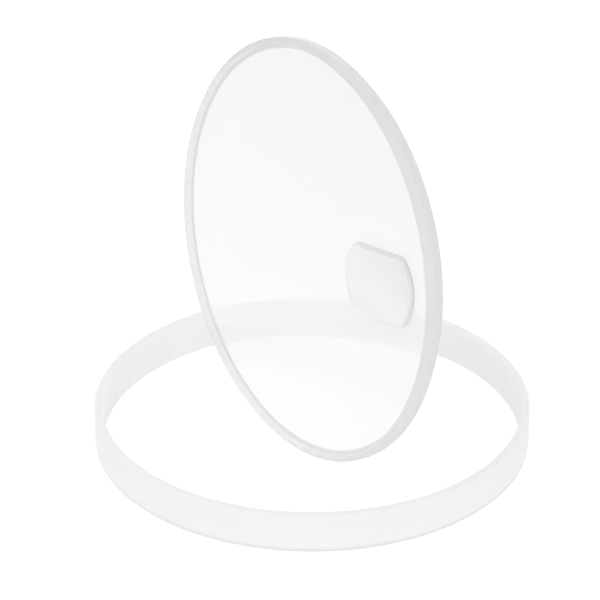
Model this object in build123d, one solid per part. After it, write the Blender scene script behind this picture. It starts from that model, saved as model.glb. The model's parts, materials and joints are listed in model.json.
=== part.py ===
from build123d import *

import os
from math import cos, radians, sin, sqrt

# A spare watch crystal with a date magnifier, standing on its edge inside its gasket ring.
#
# The gasket lies flat, centred on the origin, with its foot at Z = 0 and its axis along +Z.
# The crystal's outer face, which carries the magnifier, looks towards -Y. Seen from there, +X is
# to the right. Every length is in millimetres and every angle in degrees.

# ---- Crystal: a flat glass disc, ground to diameter, with a bevel round each face ----
crystal_diameter = 30.5
crystal_thickness = 1.6
outer_bevel = 0.45
inner_bevel = 0.6

# ---- Magnifier: a domed lens with two straight sides and two round ends ----
magnifier_length = 7.3
magnifier_width = 4.9
magnifier_end_radius = 3.3
magnifier_corner_radius = 0.5
magnifier_end_thickness = 0.4
magnifier_dome_radius = 11.2
magnifier_edge_break = 0.06
# The clear strip of polished face between the magnifier's outer end and the crystal's bevel.
magnifier_rim_gap = 1.2

# ---- Optical cement between the two, which stops just short of the magnifier's edge ----
cement_thickness = 0.05
cement_margin = 0.05

# ---- Gasket: a tall thin ring that the crystal is pressed into ----
gasket_wall = 0.62
gasket_height = 2.95
gasket_squeeze = 0.03
gasket_lead_in = 0.15
gasket_edge_break = 0.08

# ---- How the crystal stands in the gasket ----
crystal_turn = 10.0
crystal_lean = 5.5
stand_x = -0.12
stand_y = -0.36

# ---- Worked out from the values above ----
crystal_radius = crystal_diameter / 2
gasket_bore_radius = crystal_radius - gasket_squeeze
gasket_outer_radius = gasket_bore_radius + gasket_wall
magnifier_distance = crystal_radius - outer_bevel - magnifier_rim_gap - magnifier_length / 2
dome_rise = magnifier_dome_radius - sqrt(magnifier_dome_radius**2 - (magnifier_length / 2) ** 2)
magnifier_thickness = magnifier_end_thickness + dome_rise

# The crystal leans back, so it stands on the lower edge of its ground rim, the one by the inner bevel.
rim_edge_behind_middle = crystal_thickness / 2 - inner_bevel
stand_height = (
    crystal_radius * cos(radians(crystal_lean)) + rim_edge_behind_middle * sin(radians(crystal_lean))
)

# The crystal's own frame: its middle plane is XY, its outer face looks along +Z, and +Y is up.
crystal_stand = Pos(stand_x, stand_y, stand_height) * Rot(X=90 - crystal_lean)
magnifier_seat = Pos(Z=crystal_thickness / 2) * Rot(Z=crystal_turn) * Pos(X=magnifier_distance)


def crystal_disc():
    """The disc in its own frame, with the bevels on its two faces."""
    disc = Cylinder(crystal_radius, crystal_thickness)
    disc = chamfer(disc.edges().group_by(Axis.Z)[-1], outer_bevel)
    return chamfer(disc.edges().group_by(Axis.Z)[0], inner_bevel)


def magnifier_outline(margin=0):
    """The magnifier seen from above, or the same shape drawn in by a margin all round."""
    ends = SlotOverall(magnifier_length, 2 * magnifier_end_radius)
    sides = Rectangle(magnifier_length, magnifier_width)
    outline = ends & sides
    outline = fillet(outline.vertices(), magnifier_corner_radius)
    return offset(outline, -margin) if margin else outline


def magnifier_lens():
    """The lens standing on Z = 0: its upright walls are cut off by one sphere, the dome."""
    walls = extrude(magnifier_outline(), magnifier_thickness)
    # The sphere's poles lie level with its centre, clear of the lens.
    dome = Pos(Z=magnifier_thickness - magnifier_dome_radius) * Rot(X=90) * Sphere(magnifier_dome_radius)
    lens = walls & dome
    dome_face = lens.faces().sort_by(Axis.Z)[-1]
    return chamfer(dome_face.edges(), magnifier_edge_break)


def cement_film():
    """The film of cement, lying on Z = 0."""
    return extrude(magnifier_outline(cement_margin), cement_thickness)


def gasket_ring():
    """The ring, turned from its wall section, with a lead-in at its foot's outer edge."""
    middle_of_wall = gasket_bore_radius + gasket_wall / 2
    section = Pos(middle_of_wall, gasket_height / 2) * Rectangle(gasket_wall, gasket_height)
    lead_in_corner = section.vertices().group_by(Axis.Y)[0].sort_by(Axis.X)[-1]
    section = chamfer(lead_in_corner, gasket_lead_in)
    top_corners = section.vertices().group_by(Axis.Y)[-1]
    section = fillet(top_corners, gasket_edge_break)
    inner_corner = section.vertices().group_by(Axis.Y)[0].sort_by(Axis.X)[0]
    section = fillet(inner_corner, gasket_edge_break)
    return revolve(Plane.XZ * section, Axis.Z)


parts = {
    "gasket": gasket_ring(),
    "crystal": crystal_stand * crystal_disc(),
    "magnifier_cement": crystal_stand * magnifier_seat * cement_film(),
    "magnifier": crystal_stand * magnifier_seat * Pos(Z=cement_thickness) * magnifier_lens(),
}

os.makedirs("parts", exist_ok=True)
for node, solid in parts.items():
    export_step(solid, f"parts/{node}.step")
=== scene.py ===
import json
from math import asin, cos, pi, radians, sin, sqrt

import bpy
import numpy as np
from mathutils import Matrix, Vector


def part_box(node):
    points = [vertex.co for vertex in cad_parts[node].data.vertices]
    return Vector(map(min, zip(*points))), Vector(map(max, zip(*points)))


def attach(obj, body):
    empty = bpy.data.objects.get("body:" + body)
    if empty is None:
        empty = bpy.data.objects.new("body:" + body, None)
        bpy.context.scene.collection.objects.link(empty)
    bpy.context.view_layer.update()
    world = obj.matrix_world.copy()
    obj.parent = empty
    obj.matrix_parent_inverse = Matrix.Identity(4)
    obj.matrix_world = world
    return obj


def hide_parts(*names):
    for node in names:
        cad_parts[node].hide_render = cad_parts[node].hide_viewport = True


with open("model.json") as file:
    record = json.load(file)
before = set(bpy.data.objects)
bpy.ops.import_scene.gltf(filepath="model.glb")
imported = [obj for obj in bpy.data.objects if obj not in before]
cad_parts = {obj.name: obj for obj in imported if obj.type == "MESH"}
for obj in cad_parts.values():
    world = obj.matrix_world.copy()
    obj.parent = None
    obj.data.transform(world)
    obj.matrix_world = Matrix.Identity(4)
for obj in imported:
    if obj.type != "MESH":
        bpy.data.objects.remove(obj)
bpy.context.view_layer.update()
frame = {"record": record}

# ---- Camera ----
# A long lens looks down at the set from the right of the crystal's outer face, and the set fills the frame.
mm = 0.001
aim = Vector((-4.33, 1.94, 8.65)) * mm
camera_distance = 213.97 * mm
camera_turn = radians(55.19)
camera_rise = radians(28.3)

camera_data = bpy.data.cameras.new("camera")
camera_data.sensor_width = 36
camera_data.lens = 174.95
camera_data.clip_start = 10 * mm
camera = bpy.data.objects.new("camera", camera_data)
towards_camera = Vector(
    (sin(camera_turn) * cos(camera_rise), -cos(camera_turn) * cos(camera_rise), sin(camera_rise))
)
camera.location = aim + camera_distance * towards_camera
camera.rotation_euler = (pi / 2 - camera_rise, 0, camera_turn)
bpy.context.scene.collection.objects.link(camera)
bpy.context.scene.camera = camera
bpy.context.scene.view_settings.view_transform = "Standard"


# ---- White table ----
# A matt white table top. It takes the set's soft shadow, and a faint glow of its own, which lights nothing,
# lifts it to plain white wherever it is looked at, straight or by way of glass.
class Wire:
    """One output of a shader node. Arithmetic on wires adds Math nodes to the tree they are in."""

    def __init__(self, tree, socket=None):
        self.tree = tree
        self.socket = socket

    def node(self, kind, settings=(), inputs=(), output=0):
        """Adds a node to the tree: its settings first, then each input's value or wire."""
        made = self.tree.nodes.new("ShaderNode" + kind)
        for name, value in dict(settings).items():
            setattr(made, name, value)
        for name, value in dict(inputs).items():
            if isinstance(value, Wire):
                self.tree.links.new(value.socket, made.inputs[name])
            else:
                made.inputs[name].default_value = value
        return Wire(self.tree, made.outputs[output] if made.outputs else None)

    def maths(self, operation, first, second):
        return self.node("Math", {"operation": operation}, {0: first, 1: second})

    def __add__(self, other):
        return self.maths("ADD", self, other)

    def __radd__(self, other):
        return self.maths("ADD", other, self)

    def __sub__(self, other):
        return self.maths("SUBTRACT", self, other)

    def __rsub__(self, other):
        return self.maths("SUBTRACT", other, self)

    def __mul__(self, other):
        return self.maths("MULTIPLY", self, other)

    def __rmul__(self, other):
        return self.maths("MULTIPLY", other, self)


def grey(level):
    """A neutral colour of that level."""
    return (level, level, level, 1)


def finish(name):
    """A new material with an empty tree, and a wire to start its nodes from."""
    material = bpy.data.materials.new(name)
    material.use_nodes = True
    material.node_tree.nodes.clear()
    return material, Wire(material.node_tree)


def looked_at(start):
    """1 for a ray from the camera, off a gloss or through glass, and 0 for one that lights a matt surface."""
    straight = start.node("LightPath", output="Is Camera Ray")
    glossy = start.node("LightPath", output="Is Glossy Ray")
    through = start.node("LightPath", output="Is Transmission Ray")
    return start.node("Clamp", {}, {"Value": straight + glossy + through})


# The glow has one level for the light it gives the set and another for how it looks. Both are a little higher
# in a pool round the set, whose edge is soft.
table_size = 6.0
table_colour = grey(0.5)
table_glow = 0.40
table_shown = 0.58
pool_glow = 0.22
pool_shown = 0.06
pool_inside = 8 * mm
pool_outside = 29 * mm
table_data = bpy.data.meshes.new("table_top")
half = table_size / 2
table_data.from_pydata(
    [(-half, -half, 0), (half, -half, 0), (half, half, 0), (-half, half, 0)], [], [(0, 1, 2, 3)]
)
table_top = bpy.data.objects.new("table_top", table_data)
bpy.context.scene.collection.objects.link(table_top)

table_white, start = finish("table_white")
matt = start.node("BsdfDiffuse", {}, {"Color": table_colour})
place = start.node("TexCoord", output="Object")
from_middle = start.node("VectorMath", {"operation": "LENGTH"}, {0: place}, output=1)
pool = start.node(
    "MapRange",
    {"interpolation_type": "SMOOTHSTEP"},
    {"Value": from_middle, "From Min": pool_inside, "From Max": pool_outside, "To Min": 1.0, "To Max": 0.0},
)


def blended(start, share, first, last):
    """A colour part way from the first to the last."""
    return start.node("Mix", {"data_type": "RGBA"}, {"Factor": share, "A": first, "B": last}, output=2)


lighting = blended(start, pool, grey(table_glow), grey(table_glow + pool_glow))
shown = blended(start, pool, grey(table_shown), grey(table_shown + pool_shown))
glow = start.node("Emission", {}, {"Color": blended(start, looked_at(start), lighting, shown)})
both = start.node("AddShader", {}, {0: matt, 1: glow})
start.node("OutputMaterial", {}, {"Surface": both})
table_data.materials.append(table_white)


# ---- Light ----
# A white room gives an even light. Three low, broad, soft lamps shape the set a little: two from the camera's
# sides and one from behind.
room_light = 0.90
world = bpy.data.worlds.new("white_room")
world.use_nodes = True
world.node_tree.nodes.clear()
start = Wire(world.node_tree)
seen = looked_at(start)
room = start.node("Background", {}, {"Color": grey(1), "Strength": seen + (1 - seen) * room_light})
start.node("OutputWorld", {}, {"Surface": room})
bpy.context.scene.world = world


def soft_lamp(name, turn, rise, strength, spread):
    """A far, broad lamp that shines from that turn and rise, both in degrees as the camera's are."""
    data = bpy.data.lights.new(name, "SUN")
    data.energy = strength
    data.angle = radians(spread)
    lamp = bpy.data.objects.new(name, data)
    lamp.rotation_euler = (radians(90 - rise), 0, radians(turn))
    bpy.context.scene.collection.objects.link(lamp)


soft_lamp("left_lamp", turn=18, rise=14, strength=0.25, spread=50)
soft_lamp("right_lamp", turn=85, rise=14, strength=0.28, spread=50)
soft_lamp("back_lamp", turn=225, rise=14, strength=0.32, spread=50)


# ---- Gasket ----
# The ring that the crystal is pressed into, moulded in a tough, translucent white plastic. Its walls are
# upright, its edges lightly broken, and the outer edge of its foot is chamfered to lead into the watch case.
mounts = {mount["name"]: mount for mount in frame["record"]["mounts"]}
crystal_rim = mounts["crystal_rim"]
crystal_radius = crystal_rim["dims"]["r_mm"] * mm
gasket_squeeze = 0.03 * mm
gasket_bore_radius = crystal_radius - gasket_squeeze
gasket_outer_radius = mounts["case_seat"]["dims"]["r_mm"] * mm
gasket_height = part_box("gasket")[1].z
gasket_lead_in = 0.15 * mm
gasket_edge_break = 0.08 * mm
lead_in_edge_break = 0.02 * mm
gasket_segments = 384
# How high the painted contact shadow round the foot's outer edge reaches.
gasket_foot_shade_height = 0.5 * mm


def rounded(corners, radii, steps=6, shoulder=0.25):
    """A closed line through corners with a true arc at each, as one block of (x, y) rows for each corner.

    A corner's arc touches its two sides at radius / tan(half the angle between them) from the corner, about a
    centre on the angle's bisector. One point more on each side, a little past the touching point, keeps the
    side flat where it is shaded smooth.
    """
    corners = np.array(corners, float)
    radii = np.array(radii, float)[:, None]

    def unit(v):
        return v / np.linalg.norm(v, axis=1, keepdims=True)

    back = unit(np.roll(corners, 1, axis=0) - corners)
    ahead = unit(np.roll(corners, -1, axis=0) - corners)
    half_angle = np.arccos(np.sum(back * ahead, axis=1, keepdims=True)) / 2
    touching = radii / np.tan(half_angle)
    centre = corners + unit(back + ahead) * radii / np.sin(half_angle)
    first = (corners + back * touching - centre)[:, None]
    last = (corners + ahead * touching - centre)[:, None]
    turn = (pi - 2 * half_angle)[:, None]
    share = np.linspace(0, 1, steps)[None, :, None]
    arc = centre[:, None] + (first * np.sin((1 - share) * turn) + last * np.sin(share * turn)) / np.sin(turn)
    before = (corners + back * touching * (1 + shoulder))[:, None]
    after = (corners + ahead * touching * (1 + shoulder))[:, None]
    return np.concatenate([before, arc, after], axis=1)


def revolved(section, angle):
    """Rows of points, one for each (radius, height) of a section, at (r cos(angle), r sin(angle), height)."""
    r, height = section[:, :1], section[:, 1:]
    return np.stack([r * np.cos(angle), r * np.sin(angle), height + 0 * angle], axis=-1)


def wrapped(rows, columns, closed=False):
    """The quads of a grid whose columns join up into a ring. Closed, its last row joins its first as well."""
    here = np.arange(columns)
    beside = np.roll(here, -1)
    row = np.arange(rows if closed else rows - 1)[:, None] * columns
    above = np.roll(np.arange(rows), -1)[: len(row), None] * columns
    return np.stack([row + here, row + beside, above + beside, above + here], axis=-1).reshape(-1, 4)


def new_piece(name, points, faces, finishes, finish_of_face=None):
    """A mesh object from points in metres and faces, smooth all over, with one or more finishes."""
    mesh = bpy.data.meshes.new(name)
    mesh.from_pydata(points.reshape(-1, 3).tolist(), [], faces)
    mesh.polygons.foreach_set("use_smooth", np.ones(len(faces), bool))
    for material in finishes:
        mesh.materials.append(material)
    if finish_of_face is not None:
        mesh.polygons.foreach_set("material_index", finish_of_face)
    mesh.update()
    piece = bpy.data.objects.new(name, mesh)
    bpy.context.scene.collection.objects.link(piece)
    return piece


def gasket_plastic():
    """Satin white plastic that light soaks into, with a fine moulded skin and faint flow marks.

    Round the foot's outer edge it is painted darker, a painted contact shadow where the ring stands on the
    table.
    """
    material, start = finish("gasket_plastic")
    place = start.node("TexCoord", output="Object")
    pits = start.node("TexNoise", {}, {"Vector": place, "Scale": 9000.0, "Detail": 2.0})
    flow = start.node("TexNoise", {}, {"Vector": place, "Scale": 220.0, "Detail": 3.0})
    moulded = blended(start, flow, grey(0.825), grey(0.85))
    # This grey is painted shade: a painted contact shadow at the foot's outer edge.
    painted_foot_shade = grey(0.66)
    height = start.node("SeparateXYZ", {}, {0: place}, output=2)
    low = start.node(
        "MapRange",
        {"interpolation_type": "SMOOTHSTEP"},
        {"Value": height, "From Max": gasket_foot_shade_height, "To Min": 1.0, "To Max": 0.0},
    )
    across = start.node("VectorMath", {"operation": "MULTIPLY"}, {0: place, 1: (1, 1, 0)})
    from_axis = start.node("VectorMath", {"operation": "LENGTH"}, {0: across}, output=1)
    outside = start.node(
        "MapRange", {}, {"Value": from_axis, "From Min": gasket_bore_radius, "From Max": gasket_outer_radius}
    )
    colour = blended(start, low * outside, moulded, painted_foot_shade)
    relief = start.node("Bump", {}, {"Height": pits, "Strength": 0.25, "Distance": 0.01 * mm})
    plastic = start.node(
        "BsdfPrincipled",
        {},
        {
            "Base Color": colour,
            "Roughness": 0.42 + 0.16 * flow,
            "IOR": 1.53,
            "Specular IOR Level": 0.3,
            "Subsurface Weight": 0.6,
            "Subsurface Radius": (1, 1, 1),
            "Subsurface Scale": 0.6 * mm,
            "Normal": relief,
        },
    )
    start.node("OutputMaterial", {}, {"Surface": plastic})
    return material


gasket_section = rounded(
    [
        (gasket_bore_radius, 0),
        (gasket_outer_radius - gasket_lead_in, 0),
        (gasket_outer_radius, gasket_lead_in),
        (gasket_outer_radius, gasket_height),
        (gasket_bore_radius, gasket_height),
    ],
    [gasket_edge_break, lead_in_edge_break, lead_in_edge_break, gasket_edge_break, gasket_edge_break],
).reshape(-1, 2)
gasket = new_piece(
    "gasket_ring",
    revolved(gasket_section, np.arange(gasket_segments) * 2 * pi / gasket_segments),
    wrapped(len(gasket_section), gasket_segments, closed=True).tolist(),
    [gasket_plastic()],
)
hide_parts("gasket")
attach(gasket, "gasket")


# ---- Crystal ----
# A flat disc of hard clear glass. Its faces are polished, and its rim and the bevel round each face are
# finely ground. It leans back a little, standing in the ring on the edge between its rim and its inner bevel.
outer_bevel = 0.45 * mm
inner_bevel = 0.6 * mm
crystal_edge_break = 0.08 * mm
# Between the inner face and its bevel the edge is rolled over into a narrow ground band. The inner bevel is
# tinted darker than the rim, and this band much darker still.
inner_edge_break = 0.42 * mm
inner_face_rings = 12
outer_face_rings = 13
crystal_land = crystal_rim["dims"]["length_mm"] * mm
crystal_thickness = outer_bevel + crystal_land + inner_bevel
half_thick = crystal_thickness / 2

outward = -Vector(crystal_rim["axis"])
crystal_centre = Vector(crystal_rim["pos_m"]) - outward * (inner_bevel - outer_bevel) / 2

# The crystal is turned in the ring until its magnifier stands at this angle above the level line.
magnifier_turn = radians(10.0)
level = Vector((1, 0, 0))
to_magnifier = cos(magnifier_turn) * level + sin(magnifier_turn) * outward.cross(level)
crystal_axes = np.array([to_magnifier, outward.cross(to_magnifier), outward])

# The magnifier's place and outline are needed here too, because the face is left bare of polish under it.
magnifier_length = 7.3 * mm
magnifier_width = 4.9 * mm
magnifier_end_radius = 3.3 * mm
magnifier_corner_radius = 0.5 * mm
magnifier_rim_gap = 1.2 * mm
magnifier_distance = crystal_radius - outer_bevel - magnifier_rim_gap - magnifier_length / 2
cement_margin = 0.05 * mm

# How far out from its middle, as shares, the rings lie that fill the magnifier's outline.
filling = np.array([0.25, 0.5, 0.75])[:, None, None]


def on_crystal(points):
    """Points of the crystal's frame as points of the set: centre + x to_magnifier + y across + z outward."""
    return points @ crystal_axes + np.array(crystal_centre)


def magnifier_outline(margin=0.0):
    """The magnifier's edge seen from above, drawn in by a margin, as (x, y) rows that run anticlockwise.

    Each end is an arc about a point on the long axis. A smaller arc rounds each corner, about the point that
    lies its own radius inside both the side and the end's arc. Straight sides join them. One half of the
    outline is worked out, and the other is the same turned half round.
    """
    end_x = magnifier_length / 2 - magnifier_end_radius
    corner_y = magnifier_width / 2 - magnifier_corner_radius
    reach = magnifier_end_radius - magnifier_corner_radius
    corner_x = end_x + sqrt(reach**2 - corner_y**2)
    meeting = asin(corner_y / reach)

    corner_steps, end_steps, side_steps = 12, 96, 32

    def arc(x, y, radius, start, end, steps):
        angle = np.linspace(start, end, steps, endpoint=False)
        drawn_in = radius - margin
        return np.stack([x + drawn_in * np.cos(angle), y + drawn_in * np.sin(angle)], axis=-1)

    side = np.linspace(corner_x, -corner_x, side_steps, endpoint=False)
    half = np.concatenate(
        [
            arc(corner_x, -corner_y, magnifier_corner_radius, -pi / 2, -meeting, corner_steps),
            arc(end_x, 0, magnifier_end_radius, -meeting, meeting, end_steps),
            arc(corner_x, corner_y, magnifier_corner_radius, meeting, pi / 2, corner_steps),
            np.stack([side, 0 * side + magnifier_width / 2 - margin], axis=-1),
        ]
    )
    return np.concatenate([half, -half])


def level_rows(outlines, heights):
    """Rows of points, each an outline in x and y at its own height, or all at one height."""
    heights = np.broadcast_to(np.array(heights, float).reshape(-1, 1), outlines.shape[:2])
    return np.concatenate([outlines, heights[..., None]], axis=-1)


def skin(first, rows, last):
    """A closed skin: rows that wrap round, from one point to another, and a fan of triangles at each point.

    Returns the points, the faces and the row that each face starts from, where a fan counts as the row before
    the first or the last row.
    """
    count, columns = rows.shape[:2]
    here = np.arange(columns) + 1
    beside = np.roll(here, -1)
    below = np.stack([0 * here, beside, here], axis=-1)
    quads = wrapped(count, columns) + 1
    top = (count - 1) * columns
    above = np.stack([0 * here + count * columns + 1, here + top, beside + top], axis=-1)
    points = np.concatenate([np.reshape(first, (1, 3)), rows.reshape(-1, 3), np.reshape(last, (1, 3))])
    return points, below.tolist() + quads.tolist() + above.tolist(), np.repeat(np.arange(-1, count), columns)


def ground(material_name, tint, clearness):
    """Glass ground with a fine wheel, which leaves a satin surface with a fine grain.

    Its lines run round the crystal: a noise that is drawn out along the faces and is fine along their axis.
    """
    material, start = finish(material_name)
    place = start.node("TexCoord", output="Object")
    tilt = outward.to_track_quat("Z", "Y").inverted().to_euler()
    along = start.node(
        "Mapping", {"vector_type": "POINT"}, {"Vector": place, "Rotation": tilt, "Scale": (0.04, 0.04, 1)}
    )
    lines = start.node("TexNoise", {}, {"Vector": along, "Scale": 16000.0, "Detail": 3.0})
    grain = start.node("TexNoise", {}, {"Vector": place, "Scale": 14000.0, "Detail": 2.0})
    relief = start.node("Bump", {}, {"Height": lines + grain, "Strength": 0.3, "Distance": 0.004 * mm})
    glass = start.node(
        "BsdfPrincipled",
        {},
        {
            "Base Color": grey(tint),
            "Roughness": 0.42 + 0.14 * lines,
            "IOR": 1.52,
            "Transmission Weight": clearness,
            "Normal": relief,
        },
    )
    start.node("OutputMaterial", {}, {"Surface": glass})
    return material


def polished(material_name, tint, clearness):
    """Clear polished glass with the last trace of a wiping cloth on it, and a painted shade that darkens it
    towards the top.
    """
    material, start = finish(material_name)
    place = start.node("TexCoord", output="Object")
    wiping = start.node("TexNoise", {}, {"Vector": place, "Scale": 260.0, "Detail": 4.0, "Distortion": 0.6})
    # Between these heights the glass's tint darkens upwards, a painted shade.
    shade_bottom, shade_top = 9 * mm, 28 * mm
    height = start.node("SeparateXYZ", {}, {0: place}, output=2)
    upwards = start.node("MapRange", {}, {"Value": height, "From Min": shade_bottom, "From Max": shade_top})
    clean_and_unshaded, filmed_and_shaded = grey(tint + 0.025), grey(tint - 0.03)
    colour = blended(start, 0.2 * wiping + 0.8 * upwards, clean_and_unshaded, filmed_and_shaded)
    glass = start.node(
        "BsdfPrincipled",
        {},
        {
            "Base Color": colour,
            "Roughness": 0.03 * wiping,
            "IOR": 1.52,
            "Transmission Weight": clearness,
        },
    )
    start.node("OutputMaterial", {}, {"Surface": glass})
    return material


def bonded(material_name):
    """A surface that cement has wetted: nothing of it shows, because cement bends light as the glass does."""
    material, start = finish(material_name)
    start.node("OutputMaterial", {}, {"Surface": start.node("BsdfTransparent")})
    return material


# Each column of the disc passes through one point of the cement's outline. Straight out from the outline's
# middle through that point, the face's edge is sqrt(radius squared - (distance sin)^2) - distance cos away.
cement_outline = magnifier_outline(cement_margin)
cement_direction = np.arctan2(cement_outline[:, 1], cement_outline[:, 0])
face_radius = crystal_radius - outer_bevel
to_rim = np.sqrt(face_radius**2 - (magnifier_distance * np.sin(cement_direction)) ** 2)
to_rim = to_rim - magnifier_distance * np.cos(cement_direction)
rim_angle = np.arctan2(
    to_rim * np.sin(cement_direction), magnifier_distance + to_rim * np.cos(cement_direction)
)

# The section of the rim runs from the inner face to the outer face. Its two corners on the axis are dropped.
inner_radius = crystal_radius - inner_bevel
rim_section = rounded(
    [
        (0, -half_thick),
        (inner_radius, -half_thick),
        (crystal_radius, inner_bevel - half_thick),
        (crystal_radius, half_thick - outer_bevel),
        (face_radius, half_thick),
        (0, half_thick),
    ],
    [crystal_edge_break, inner_edge_break] + [crystal_edge_break] * 4,
)[1:-1]
rim_corners, rows_of_corner = rim_section.shape[:2]
rim_section = rim_section.reshape(-1, 2)
inner_rings = np.linspace(0, rim_section[0, 0], inner_face_rings + 2)[1:-1]
inner_face = np.stack([inner_rings, 0 * inner_rings - half_thick], axis=-1)
turned_rows = revolved(np.concatenate([inner_face, rim_section]), rim_angle)

# From the outer bevel the rows draw in to the cement's outline, and inside it to the outline's middle.
middle = np.array([magnifier_distance, 0])
inwards = np.linspace(0, 1, outer_face_rings + 1)[1:, None, None]
outer_face = turned_rows[-1, :, :2] * (1 - inwards) + (middle + cement_outline) * inwards
under_cement = middle + cement_outline * filling[::-1]
crystal_rows = np.concatenate(
    [turned_rows, level_rows(outer_face, half_thick), level_rows(under_cement, half_thick)]
)
crystal_points, crystal_faces, row_of_face = skin(
    (0, 0, -half_thick), crystal_rows, (*middle, half_thick)
)

# The finishes follow each other over the disc from row to row, and the order names each by its place in the
# disc's list. A corner's first strip of faces and its last one lie on flats, and those between are its arc.
inner_edge_from = len(inner_face) + 1
inner_bevel_from = len(inner_face) + rows_of_corner - 2
rim_from = len(inner_face) + rows_of_corner + 1
outer_face_from = len(inner_face) + rim_corners * rows_of_corner - 2
bonded_from = len(turned_rows) + outer_face_rings - 1
finish_order = np.array([1, 4, 3, 2, 0, 5])
finish_starts = [inner_edge_from, inner_bevel_from, rim_from, outer_face_from, bonded_from]
crystal = new_piece(
    "crystal_disc",
    on_crystal(crystal_points),
    crystal_faces,
    [
        polished("crystal_outer_face", 0.935, 0.31),
        polished("crystal_inner_face", 0.97, 1.0),
        ground("crystal_ground", 0.825, 0.35),
        ground("crystal_inner_bevel", 0.725, 0.35),
        ground("crystal_inner_edge", 0.33, 0.1),
        bonded("crystal_bonded"),
    ],
    finish_order[np.digitize(row_of_face, finish_starts)],
)

# Clear glass lets nearly all light past, so neither the disc nor what is bonded to it throws a shadow.
crystal.visible_shadow = False
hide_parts("crystal")
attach(crystal, "crystal")


# ---- Cement ----
# A film of clear cement, cured between the crystal and the magnifier. It stops just short of the magnifier's
# edge, and its own edge draws in a little as a drop's does.
cement_thickness = 0.05 * mm
cement_hollow = 0.015 * mm
cement_edge_rows = 7
edge_share = np.linspace(0, 1, cement_edge_rows)
cement_edge = np.stack([magnifier_outline(cement_margin + cement_hollow * sin(pi * s)) for s in edge_share])
cement_rows = np.concatenate(
    [
        level_rows(cement_outline * filling, 0),
        level_rows(cement_edge, edge_share * cement_thickness),
        level_rows(cement_outline * filling[::-1], cement_thickness),
    ]
)
cement_edge_from = len(filling)
cement_edge_to = cement_edge_from + cement_edge_rows - 1
cement_base = np.array([magnifier_distance, 0, half_thick])
cement_points, cement_faces, row_of_face = skin((0, 0, 0), cement_rows, (0, 0, cement_thickness))
cement = new_piece(
    "cement_film",
    on_crystal(cement_points + cement_base),
    cement_faces,
    [polished("cement_edge", 0.95, 1.0), bonded("cement_bonded")],
    np.where((row_of_face >= cement_edge_from) & (row_of_face < cement_edge_to), 0, 1),
)
cement.visible_shadow = False
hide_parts("magnifier_cement")
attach(cement, "crystal")


# ---- Magnifier ----
# The small lens over the date: a flat underside, upright ground walls, and a polished dome on top that is
# part of one sphere. Its top edge is broken so that it doesn't chip.
magnifier_end_thickness = 0.4 * mm
magnifier_dome_radius = 11.2 * mm
magnifier_edge_break = 0.06 * mm
foot_edge_break = 0.015 * mm
# How high the band of painted shade at the wall's foot reaches.
shaded_foot_height = 0.14 * mm
dome_rise = magnifier_dome_radius - sqrt(magnifier_dome_radius**2 - (magnifier_length / 2) ** 2)
magnifier_thickness = magnifier_end_thickness + dome_rise


def dome_height(outline):
    """The dome above x and y: thickness - radius + sqrt(radius squared - x squared - y squared)."""
    below_pole = magnifier_dome_radius - np.sqrt(magnifier_dome_radius**2 - np.sum(outline**2, axis=-1))
    return magnifier_thickness - below_pole


walls = magnifier_outline()
top = dome_height(walls)
underside = [level_rows(cement_outline * filling, 0), level_rows(cement_outline[None], 0)]

# The foot's broken edge: how far each of its rows is drawn in, as a share of the break, and how high it lies.
# The last row is the top of the band at the wall's foot that has a darker ground finish, a painted shade
# where the wall meets the crystal.
foot_drawn_in = [1.5, 1, 0.3, 0, 0, 0]
foot_heights = [0, 0, 0.3 * foot_edge_break, foot_edge_break, 1.5 * foot_edge_break, shaded_foot_height]
foot_rows = np.stack([magnifier_outline(foot_edge_break * share) for share in foot_drawn_in])
foot = level_rows(foot_rows, foot_heights)


def at_height(outline, height):
    """One row of points: an outline in x and y, with each point at its own height."""
    return np.concatenate([outline, height[:, None]], axis=-1)[None]


# The broken top edge is a curve from the wall, a break below the dome, to the dome, a break in from the wall.
# Its points are (1 - s)^2 of the first end, 2 s (1 - s) of the unbroken corner and s^2 of the last end.
brim = magnifier_outline(magnifier_edge_break)
edge_start = at_height(walls, top - magnifier_edge_break)
edge_corner = at_height(walls, top)
edge_end = at_height(brim, dome_height(brim))
magnifier_edge_rows = 7
s = np.linspace(0, 1, magnifier_edge_rows)[:, None, None]
edge = (1 - s) ** 2 * edge_start + 2 * s * (1 - s) * edge_corner + s**2 * edge_end

# A row a little below the edge and one a little inside it keep the wall and the dome true where they meet it.
# The dome's other rows are spaced evenly from near its brim to near its middle.
shoulder = at_height(walls, top - 1.4 * magnifier_edge_break)
beside_brim, dome_rings = 0.994, 20
dome_shares = np.concatenate([[beside_brim], np.linspace(0.96, 0.05, dome_rings)])
dome = np.concatenate([at_height(brim * share, dome_height(brim * share)) for share in dome_shares])
magnifier_rows = np.concatenate([*underside, foot, shoulder, edge, dome])
magnifier_base = cement_base + np.array([0, 0, cement_thickness])
magnifier_points, magnifier_faces, row_of_face = skin((0, 0, 0), magnifier_rows, (0, 0, magnifier_thickness))
bare_from = len(filling)
shaded_foot_from = bare_from + 1
wall_from = shaded_foot_from + len(foot) - 1
dome_from = wall_from + 2
finish_order = np.array([3, 0, 2, 1, 0])
magnifier = new_piece(
    "magnifier_lens",
    on_crystal(magnifier_points + magnifier_base),
    magnifier_faces,
    [
        polished("magnifier_polished", 0.88, 0.13),
        ground("magnifier_ground", 0.85, 0.2),
        # A darker ground on the foot's band: painted shade where the wall meets the crystal.
        ground("magnifier_shaded_foot", 0.8, 0.25),
        bonded("magnifier_bonded"),
    ],
    finish_order[np.digitize(row_of_face, [bare_from, shaded_foot_from, wall_from, dome_from])],
)
magnifier.visible_shadow = False
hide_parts("magnifier")
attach(magnifier, "crystal")
